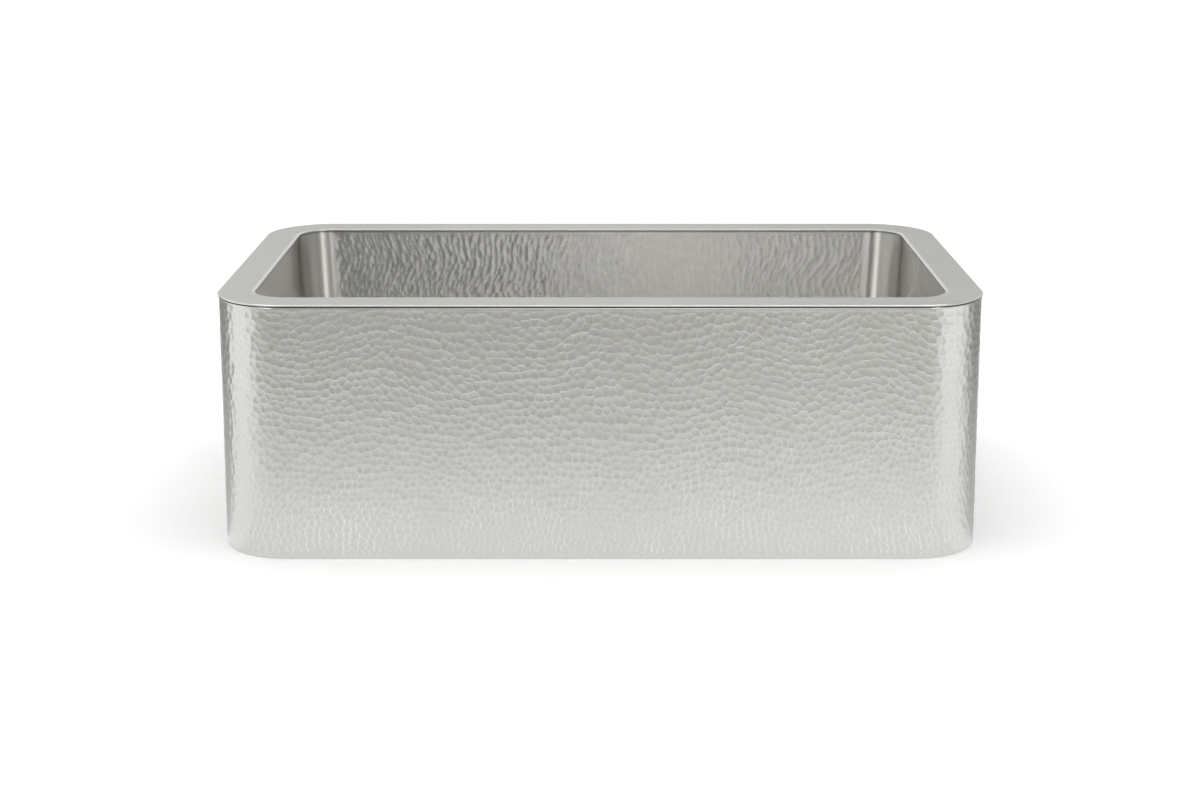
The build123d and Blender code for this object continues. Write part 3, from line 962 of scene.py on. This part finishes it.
class SINK_OT_bowl_floor(bpy.types.Operator):
    """Models the hammered floor pan with its cove, its dish and the seat for the drain"""

    bl_idname = "sink.bowl_floor"
    bl_label = "Bowl floor"

    def execute(self, context):
        m = measures()
        outline = bowl_outline()
        seat_top = PAN_LOW.z + m.sheet
        dish_foot = seat_top + m.recess_drop
        floor_top = dish_foot + m.dish_drop
        step = 2.28 * MM
        round_it, leg, share = outline.walk_round(step)
        upper = self.wall_and_cove(m, floor_top, 0.0, step)
        ground = self.wall_and_cove(m, floor_top, m.sheet, step)[::-1]
        rows = [ring(*outline.at(leg, share, inset), z) for inset, z in upper]
        edge = rows[-1][:, :2].T
        way = edge / np.linalg.norm(edge, axis=0)
        for part in spaced(0, 1, WIDER_ROWS * step / FLAT_WIDTH)[1:]:
            rows.append(ring(*(edge + (m.dish_radius * way - edge) * part), floor_top))
        rings = [(r, floor_top - m.dish_drop * (m.dish_radius - r) / (m.dish_radius - m.recess_radius))
                 for r in spaced(m.dish_radius, m.recess_radius, step)[1:]]
        rings += [(m.recess_radius - m.recess_slope * along, dish_foot - m.recess_drop * down)
                  for along, down in SEAT_WALL]
        rings += [(r, seat_top) for r in spaced(m.recess_radius - m.recess_slope * 1.1, m.drain_hole, step)]
        face_rows = len(rows) + len(rings)
        rings += [(m.drain_hole, seat_top - m.sheet),
                  (m.recess_radius - m.recess_slope + m.sheet, seat_top - m.sheet),
                  (m.recess_radius + m.sheet, dish_foot - m.sheet),
                  (m.dish_radius, floor_top - m.sheet)]
        rows += [ring(*(radius * way), z) for radius, z in rings]
        rows += [ring(*outline.at(leg, share, inset, -m.sheet), z) for inset, z in ground]
        rows.append(rows[0])
        places, ridges = self.hammered(np.stack(rows, 1), face_rows, len(upper), round_it)
        piece = woven("hammered_floor", places, ridges, joint=0.0)
        dress(piece, "sink", "hammered_bowl", hammered_finish("hammered_floor", inside=True), "bowl_floor")
        return {"FINISHED"}

    @staticmethod
    def wall_and_cove(m, floor_top, outside, step):
        """The foot of the wall and the cove as (inset, height), outside the inner face by a distance."""
        lean = math.tan(m.bowl_draft)
        radius, floor = m.cove + outside, floor_top - outside
        reach = radius * math.tan((math.pi / 2 - m.bowl_draft) / 2)
        foot = (BOWL_HIGH.z - floor) * lean - outside
        wall = [((BOWL_HIGH.z - PAN_HIGH.z) * lean - outside, PAN_HIGH.z)]
        start, steps = 180 + math.degrees(m.bowl_draft), max(3, round(radius * 1.5 / step))
        return wall + arc_points((foot + reach, floor + radius), radius, start, 270, steps)

    @staticmethod
    def hammered(places, face_rows, wall_rows, round_it):
        """Sinks the hammer marks into the upper face, along the sheet's normals: those of the walls as
        far as the cove, and then those of the floor."""
        m, look = measures(), looks()
        face = places[:, :face_rows]
        normal = np.cross(np.gradient(face, axis=0), np.gradient(face, axis=1))
        normal /= np.maximum(np.linalg.norm(normal, axis=-1, keepdims=True), 1e-12)
        normal *= np.where(normal[..., 2:] < 0, -1, 1)
        run = np.cumsum(np.linalg.norm(np.diff(face, axis=1, prepend=face[:, :1]), axis=-1), 1)
        u = np.repeat(round_it[:, None], face_rows, 1)
        on_wall, on_floor = (u, PAN_HIGH.z - run), (face[..., 0], face[..., 1])
        walls, floor = wall_blows(), floor_blows()
        blend = smooth_step(np.arange(face_rows) - wall_rows, *FLOOR_ROWS_BEGIN) * np.ones((len(face), 1))
        cup = walls.cups(*on_wall) * (1 - blend) + floor.cups(*on_floor) * blend
        from_seat = np.hypot(*on_floor) - m.recess_radius
        worked = smooth_step(run, 0, 1 * MM) * smooth_step(from_seat, *FLOOR_MARKS_BEGIN)
        deep = bowl_depth(round_it)[:, None] * (1 - blend) + look.bowl_mark_depth * blend
        depth = worked * (deep * cup + hand_work(u, run, walls.around, length=60 * MM, seed=7))
        columns, rows = len(places) - 1, places.shape[1] - 1
        gaps, strengths = np.zeros((columns, rows, 2, 2)), np.zeros((columns, rows))
        wall_gaps, wall_strengths = walls.ridges(*on_wall)
        floor_gaps, floor_strengths = floor.ridges(*on_floor)
        floor_faces = at_faces(blend) > 0.5
        polish_and_highlight = at_faces(worked * deep) / look.bowl_mark_depth
        gaps[:, :face_rows - 1] = np.where(floor_faces[..., None, None], floor_gaps, wall_gaps)
        strengths[:, :face_rows - 1] = np.where(floor_faces, floor_strengths, wall_strengths) * polish_and_highlight
        face -= normal * depth[..., None]
        return places, (gaps, strengths)


# ---- hidden pieces and drain
class SINK_OT_base(bpy.types.Operator):
    """Finishes the channels and the sound pads"""

    bl_idname = "sink.base"
    bl_label = "Channels and pads"

    def execute(self, context):
        steel = mill_finish("mill_steel")
        pad = rubber_finish("sound_pad", (0.045, 0.045, 0.048), ribs=60)
        for node in ("support_channel_left", "support_channel_right"):
            paint(node, steel)
        for node in ("floor_pad_left", "floor_pad_right", "front_wall_pad", "back_wall_pad"):
            paint(node, pad)
        return {"FINISHED"}


class SINK_OT_drain(bpy.types.Operator):
    """Finishes the drain, the basket and the stopper"""

    bl_idname = "sink.drain"
    bl_label = "Drain"

    def execute(self, context):
        polished = polished_finish("polished_drain", 1.0, 0.14)
        for node in ("strainer_body", "outlet_crossbar", "basket_cup", "basket_hub", "stopper_stem",
                     "stopper_plate", "stopper_washer", "stopper_nut", "pull_knob"):
            paint(node, polished)
        paint("locknut", polished_finish("cast_nut", 0.85, 0.32))
        seal = rubber_finish("seal_rubber", (0.03, 0.03, 0.03))
        for node in ("flange_seal", "under_gasket", "stem_o_ring"):
            paint(node, seal)
        paint("stopper_rubber", rubber_finish("stopper_rubber", (0.05, 0.05, 0.05)))
        paint("friction_ring", fibre_finish("fibre"))
        return {"FINISHED"}


# ---- stage
# The photograph's camera: how far it stands in front of the sink and above its rim, in metres, how far
# it looks down, in degrees, its lens in millimetres and its lens shift, of which upright only a part is
# taken
CAMERA_AHEAD, CAMERA_ABOVE, CAMERA_PITCH = 1.9084, 0.4226, 11.1
CAMERA_LENS, CAMERA_SHIFT = 60.8, (-0.0003, -0.12)
# How far the floor and the mirrored floor lie under the sink, so that neither cuts through its foot
FLOOR_DOWN, MIRRORED_DOWN = 0.5 * MM, 0.2 * MM
# The floor's own glow, which keeps it white and the sink's shadow faint: distances and its levels there
FLOOR_GLOW = 0.5, 2.0, 0.06, 0.4
# How far the cards reach from the sink's middle
FAR = 3.6
# The mirrored floor's levels at distances in front of the sink and behind it
FRONT_REACH = 3.4
FRONT_SHEEN = [(0.0, 0.96), (0.1, 0.99), (0.23, 0.91), (0.37, 0.82), (0.53, 0.72), (0.73, 0.615),
               (0.95, 0.56), (1.36, 0.505), (2.04, 0.45), (3.4, 0.4)]
# The middle of the sink's front corners, from which the bearings of the sides and the wedges are taken
CORNER_X, CORNER_Y = 0.33, 0.17
# Bearings between which the mirrored floor's sides begin, its dark wedges, and the part behind the sink
SIDES_BEGIN, WEDGES_BEGIN, BACK_BEGINS = (50, 65), (101, 114), (146, 152)
# How much earlier the right side begins, the right wedge begins, and the right wedge is full
RIGHT_SIDE_EARLIER, RIGHT_WEDGE_EARLIER, RIGHT_FULL_EARLIER = 15, 21, 2
# Distances between which the sides and the wedges go from one level to another
SIDE_SHEEN = 0.2, 1.5, 1.08, 1.2
WEDGE_SHEEN = 0.05, 1.1, 0.64, 0.29
# How much brighter the floor is to the right in front, from near the sink to far from it
RIGHT_BRIGHTER = 0, 0.9, 0.04, 0.2
# The sheen's colour near the sink, far from it and beside it
NEAR_TINT, FAR_TINT, SIDE_TINT = (0.965, 0.985, 1.0), (1.0, 0.995, 0.975), (0.96, 0.978, 1.0)
# The studio's levels round the sink, by the bearing from straight in front
STUDIO = [(-180, 0.69), (-170, 0.67), (-150, 0.78), (-130, 0.7), (-110, 0.9), (-54, 0.9), (-46, 0.6),
          (-24, 0.6), (-17, 0.2), (-12, 0.1), (-6, 0.4), (-1, 1.65), (4, 1.8), (8, 0.98), (12, 0.42),
          (17, 0.4), (30, 0.5), (36, 0.6), (45, 0.6), (52, 0.5), (110, 0.5), (130, 0.65), (150, 0.78),
          (170, 0.59), (180, 0.69)]
# What the softboxes high up in front add to them
SOFTBOXES = [(-48, 0), (-45, 7.4), (-35, 7.4), (-31, 0.8), (-24, 0.3), (-17, 0), (-7, 0), (-2, 0.35),
             (6, 0.4), (11, 0.2), (18, 0.45), (32, 0.8), (36, 7.6), (45, 7.6), (49, 0)]
# Heights, as the sine of the angle above the floor, between which the walls brighten and darken from one
# share of those levels to another, the softboxes begin, and the ceiling begins
WALLS_BRIGHTEN = 0.18, 0.26, 0.84, 1.36
WALLS_DARKEN = 0.45, 0.62, 1.0, 0.52
SOFTBOXES_BEGIN = 0.5, 0.62
CEILING_BEGINS = 0.88, 0.98
# The ceiling's level in mirrors, and the level of all the studio's light on what isn't a mirror
CEILING, ROOM = 0.72, 0.75


def card(name, corner, far_corner, material):
    """A studio card between two corners, which only reflections see."""
    low, high = Vector(corner), Vector(far_corner)
    deselect()
    bpy.ops.mesh.primitive_plane_add(size=2)
    made = bpy.context.active_object
    made.name = name
    flat = low.z == high.z
    for vertex in made.data.vertices:
        right, up = (vertex.co.x + 1) / 2, (vertex.co.y + 1) / 2
        vertex.co = (low.x + (high.x - low.x) * right,
                     low.y + (high.y - low.y) * (up if flat else right),
                     low.z + (high.z - low.z) * up)
    made.data.materials.append(material)
    made.visible_camera = False
    made.visible_diffuse = False
    made.visible_shadow = False


def glow_finish(name):
    """A card's finish, which mirrors nothing itself."""
    return Finish(name, Base_Color=(0, 0, 0, 1), Roughness=1.0, Specular_IOR_Level=0.0)


def flag(name, corner, far_corner, level):
    """A card of one grey; a level of 1 is white."""
    f = glow_finish(name)
    f.set(Emission_Color=(level, level, level * 0.985, 1), Emission_Strength=1.0)
    card(name, corner, far_corner, f.material)


def sheen_finish(name):
    """What the metal mirrors of the floor: bright near the sink and beside it, greyer away in front and
    behind, and dark in two wedges that run back from the front corners."""
    f = glow_finish(name)
    x, y, _ = f.axes()
    out = f.maths("MAXIMUM", f.maths("ABSOLUTE", x) - CORNER_X, 0)
    ahead = -1 * y - CORNER_Y
    bearing = f.bearing(out, ahead)
    away = f.maths("SQRT", out * out + ahead * ahead)
    depth = f.maths("ABSOLUTE", y) + CAD_BOX[0].y
    on_right = f.between(x, -0.01, 0.01)
    to_right = f.between(x, -0.05, 0.4) * f.between(depth, *RIGHT_BRIGHTER)
    front = f.stepped(depth, 0, FRONT_REACH, FRONT_SHEEN) * (1 + to_right)
    side = f.between(away, *SIDE_SHEEN)
    wedge = f.between(away, *WEDGE_SHEEN)
    to_side = f.between(bearing + on_right * RIGHT_SIDE_EARLIER, *SIDES_BEGIN)
    wedge_begins, wedge_full = WEDGES_BEGIN
    to_wedge = f.between(bearing, wedge_begins - on_right * RIGHT_WEDGE_EARLIER,
                         wedge_full - on_right * RIGHT_FULL_EARLIER)
    past_wedge = f.between(bearing, *BACK_BEGINS)
    beside = front * (1 - to_side) + side * to_side
    level = beside * (1 - to_wedge) + wedge * to_wedge * (1 - past_wedge) + front * past_wedge
    tint = f.mix(f.between(away, 0.05, 0.9), NEAR_TINT, FAR_TINT)
    tint = f.mix(to_side * (1 - to_wedge), tint, SIDE_TINT)
    f.set(Emission_Color=f.mix(level * (1 / LEVEL_MOST), (0, 0, 0), tint), Emission_Strength=LEVEL_MOST)
    return f.material


class SINK_OT_stage(bpy.types.Operator):
    """Sets up the camera, the pale floor, the lamp, the cards and the backdrop"""

    bl_idname = "sink.stage"
    bl_label = "Stage"

    def execute(self, context):
        scene = context.scene
        scene.view_settings.view_transform = "Standard"
        self.camera(scene)
        self.world(scene)
        self.floor()
        self.lights()
        return {"FINISHED"}

    def camera(self, scene):
        """The photograph's view."""
        place = (0, CAD_BOX[0].y - CAMERA_AHEAD, CAD_BOX[1].z + CAMERA_ABOVE)
        bpy.ops.object.camera_add(location=place, rotation=(math.radians(90 - CAMERA_PITCH), 0, 0))
        camera = bpy.context.active_object
        camera.data.lens = CAMERA_LENS
        camera.data.sensor_width = 36
        camera.data.shift_x, camera.data.shift_y = CAMERA_SHIFT
        scene.camera = camera

    def world(self, scene):
        """White where the camera looks at it; in mirrors the studio's walls, softboxes and ceiling."""
        scene.world = bpy.data.worlds.new("studio")
        scene.world.use_nodes = True
        w = Nodes(scene.world.node_tree, "Generated")
        x, y, z = w.axes()
        bearing = w.bearing(x, -1 * y)
        walls = w.stepped(bearing, -180, 180, STUDIO) * w.between(z, *WALLS_BRIGHTEN)
        walls = walls * w.between(z, *WALLS_DARKEN)
        walls = walls + w.stepped(bearing, -180, 180, SOFTBOXES) * w.between(z, *SOFTBOXES_BEGIN)
        overhead = w.between(z, *CEILING_BEGINS)
        mirrored = walls * (1 - overhead) + CEILING * overhead
        in_mirror = w.node("ShaderNodeLightPath", output="Is Glossy Ray")
        level = mirrored * in_mirror + ROOM * (1 - in_mirror)
        level = w.maths("MAXIMUM", level, w.node("ShaderNodeLightPath", output="Is Camera Ray"))
        back = w.tree.nodes["Background"]
        w.feed(back.inputs["Color"], (1, 1, 1, 1))
        w.feed(back.inputs["Strength"], level)

    def floor(self):
        """A wide white floor, which keeps a faint shadow of the sink."""
        deselect()
        bpy.ops.mesh.primitive_plane_add(size=30, location=(0, 0, -FLOOR_DOWN))
        floor = bpy.context.active_object
        floor.name = "floor"
        f = Finish("floor", Roughness=0.9, Specular_IOR_Level=0.0)
        f.set(Base_Color=f.mix(f.noise(3, 2), (0.93, 0.93, 0.93), (0.95, 0.95, 0.95)))
        away = f.node("ShaderNodeVectorMath", {"operation": "LENGTH"}, {0: f.place()}, output="Value")
        seen = f.node("ShaderNodeLightPath") * f.between(away, *FLOOR_GLOW)
        f.set(Emission_Color=f.mix(seen, (0, 0, 0), (1, 1, 1)), Emission_Strength=1.0)
        floor.data.materials.append(f.material)

    def lights(self):
        """A soft lamp overhead, and what only mirrors see: the floor's sheen and three flags."""
        place, target = Vector((0, -0.2, 2.2)), Vector((0, 0, 0.1))
        bpy.ops.object.light_add(type="AREA", location=place)
        lamp = bpy.context.active_object
        lamp.name = "top_softbox"
        lamp.data.shape = "RECTANGLE"
        lamp.data.size, lamp.data.size_y = 2.4, 1.8
        lamp.data.energy = 26
        lamp.rotation_euler = (target - place).to_track_quat("-Z", "Y").to_euler()
        lamp.visible_glossy = False
        sheen = sheen_finish("floor_sheen")
        card("floor_sheen", (-FAR, -FAR, -MIRRORED_DOWN), (FAR, FAR, -MIRRORED_DOWN), sheen)
        flag("front_flag", (-FAR, -FAR, 0), (FAR, -FAR, 0.5), 0.42)
        flag("left_flag", (-2.2, 0.95, 0.002), (-0.25, 0.95, 0.35), 0.3)
        flag("right_flag", (0.25, 0.95, 0.002), (2.2, 0.95, 0.35), 0.3)


# ---- panel and run
class SINK_PT_panel(bpy.types.Panel):
    """Lists the sink's pieces and sizes"""

    bl_idname = "SINK_PT_panel"
    bl_label = "Hammered sink"
    bl_space_type = "VIEW_3D"
    bl_region_type = "UI"
    bl_category = "Sink"

    def draw(self, context):
        for operator in OPERATORS:
            self.layout.operator(operator.bl_idname)
        for group in (context.scene.sink_measures, context.scene.sink_looks):
            for name in group.__annotations__:
                self.layout.prop(group, name)


OPERATORS = (SINK_OT_stage, SINK_OT_skirt, SINK_OT_rim, SINK_OT_bowl_walls, SINK_OT_bowl_floor, SINK_OT_base,
             SINK_OT_drain)
CLASSES = (SinkMeasures, SinkLooks, *OPERATORS, SINK_PT_panel)


def register():
    for cls in CLASSES:
        bpy.utils.register_class(cls)
    bpy.types.Scene.sink_measures = bpy.props.PointerProperty(type=SinkMeasures)
    bpy.types.Scene.sink_looks = bpy.props.PointerProperty(type=SinkLooks)


def unregister():
    del bpy.types.Scene.sink_looks
    del bpy.types.Scene.sink_measures
    for cls in reversed(CLASSES):
        bpy.utils.unregister_class(cls)


def main():
    register()
    bpy.ops.sink.stage()
    bpy.ops.sink.skirt()
    bpy.ops.sink.rim()
    bpy.ops.sink.bowl_walls()
    bpy.ops.sink.bowl_floor()
    bpy.ops.sink.base()
    bpy.ops.sink.drain()


if __name__ == "__main__":
    main()
